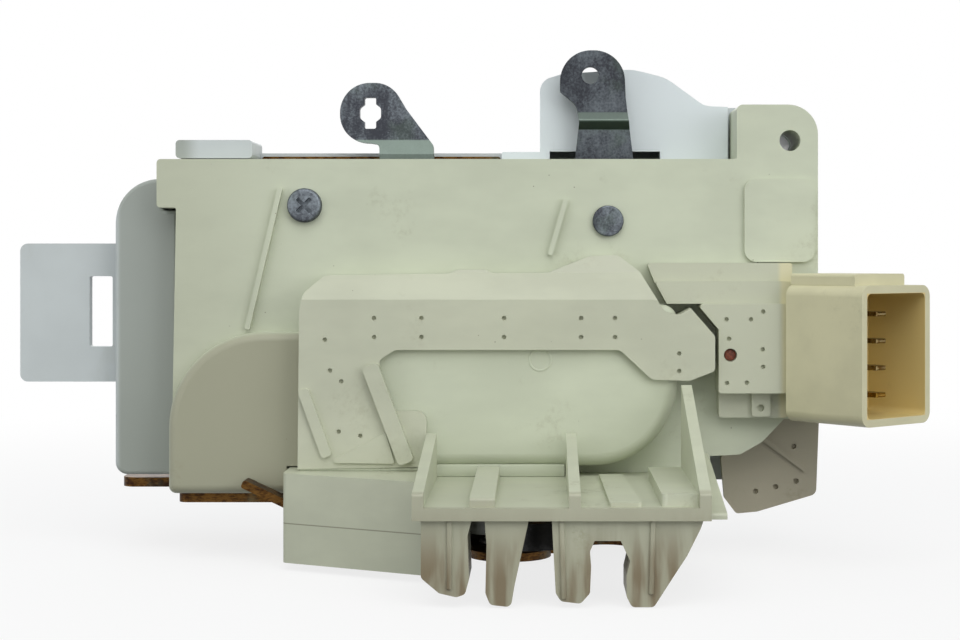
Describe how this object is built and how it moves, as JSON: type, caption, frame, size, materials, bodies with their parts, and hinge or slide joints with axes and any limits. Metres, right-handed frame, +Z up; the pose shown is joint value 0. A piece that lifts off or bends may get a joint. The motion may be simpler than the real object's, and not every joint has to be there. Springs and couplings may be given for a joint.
{
  "type": "door latch actuator",
  "caption": "Vehicle door latch with its electric actuator: plastic case on steel latch plates, claw and pawl, release and lock levers, motor drive and plug socket.",
  "frame": {"origin": "outer face of the latch's face plate, between its three fixings", "axes": "+X to the right along the case, +Y from the case's front to its back, +Z up, away from the door's edge"},
  "size_m": [0.1836, 0.095, 0.1024],
  "materials": {
    "cream_plastic": "moulded, fine grain",
    "pale_plastic": "moulded, satin",
    "white_plastic": "moulded, slightly translucent",
    "dark_plastic": "moulded",
    "yellow_zinc": "yellow passivated zinc",
    "blue_zinc": "clear passivated zinc",
    "bright_steel": "ground",
    "spring_steel": "oiled",
    "tinned_brass": "tinned",
    "plain_brass": "plain",
    "black_rubber": "moulded"
  },
  "bodies": {
    "root": {"front_case": "cream_plastic", "rear_case": "white_plastic", "corner_cover": "cream_plastic", "mid_plate": "yellow_zinc", "back_plate": "yellow_zinc", "face_plate": "yellow_zinc", "claw_pin": "yellow_zinc", "pawl_pin": "yellow_zinc", "claw_washer": "blue_zinc", "claw_spring": "spring_steel", "pawl_spring": "spring_steel", "tongue_pin": "yellow_zinc", "bump_stop": "black_rubber", "lock_rivet": "blue_zinc", "release_pin": "blue_zinc", "release_spring": "spring_steel", "cover_screw": "blue_zinc", "motor": "bright_steel", "wheel_pin": "bright_steel", "lock_switch": "dark_plastic", "conductor_carrier": "pale_plastic", "connector_shell": "cream_plastic", "terminal_1": "tinned_brass", "terminal_2": "tinned_brass", "terminal_3": "tinned_brass", "terminal_4": "plain_brass", "latch_housing": "cream_plastic"},
    "claw": {"claw": "bright_steel", "claw_coat": "dark_plastic"},
    "pawl": {"pawl": "bright_steel"},
    "release_tongue": {"release_tongue": "yellow_zinc"},
    "release_lever": {"release_lever": "blue_zinc"},
    "lock_lever": {"lock_lever": "blue_zinc"},
    "worm": {"motor_shaft": "bright_steel", "worm": "plain_brass"},
    "worm_wheel": {"worm_wheel": "white_plastic"},
    "switch_plunger": {"switch_plunger": "white_plastic"}
  },
  "joints": [
    {"name": "claw_turn", "type": "hinge", "parent": "root", "child": "claw", "pos_m": [-0.0041, -0.02, 0.006], "axis": [0, 0, 1], "range_deg": [0, 52], "stiffness_Nm_per_rad": 0.02},
    {"name": "pawl_turn", "type": "hinge", "parent": "root", "child": "pawl", "pos_m": [-0.0098, 0.004, 0.006], "axis": [0, 0, 1], "range_deg": [-12, 0], "stiffness_Nm_per_rad": 0.02},
    {"name": "tongue_turn", "type": "hinge", "parent": "root", "child": "release_tongue", "pos_m": [-0.038, -0.012, 0.009], "axis": [0, 0, 1], "range_deg": [0, 6], "stiffness_Nm_per_rad": 0.02},
    {"name": "release_turn", "type": "hinge", "parent": "root", "child": "release_lever", "pos_m": [-0.025, -0.012, 0.0685], "axis": [0, 1, 0], "range_deg": [0, 22], "stiffness_Nm_per_rad": 0.05},
    {"name": "wheel_turn", "type": "hinge", "parent": "root", "child": "worm_wheel", "pos_m": [0.016, -0.0158, 0.0449], "axis": [0, 1, 0], "range_deg": [-45, 45]},
    {"name": "worm_turn", "type": "hinge", "parent": "root", "child": "worm", "pos_m": [0.016, -0.0158, 0.031], "axis": [1, 0, 0], "range_deg": [-1216, 1216]},
    {"name": "lock_turn", "type": "hinge", "parent": "root", "child": "lock_lever", "pos_m": [0.0156, -0.012, 0.0668], "axis": [0, 1, 0], "range_deg": [-13.7, 13.7]},
    {"name": "plunger_slide", "type": "slide", "parent": "root", "child": "switch_plunger", "axis": [1, 0, 0], "range_m": [-0.001, 0.001]}
  ],
  "couplings": [
    {"joint": "worm_turn", "follows": "wheel_turn", "ratio": 27},
    {"joint": "lock_turn", "follows": "wheel_turn", "ratio": -0.302},
    {"joint": "plunger_slide", "follows": "wheel_turn", "m_per_rad": 0.001146}
  ]
}
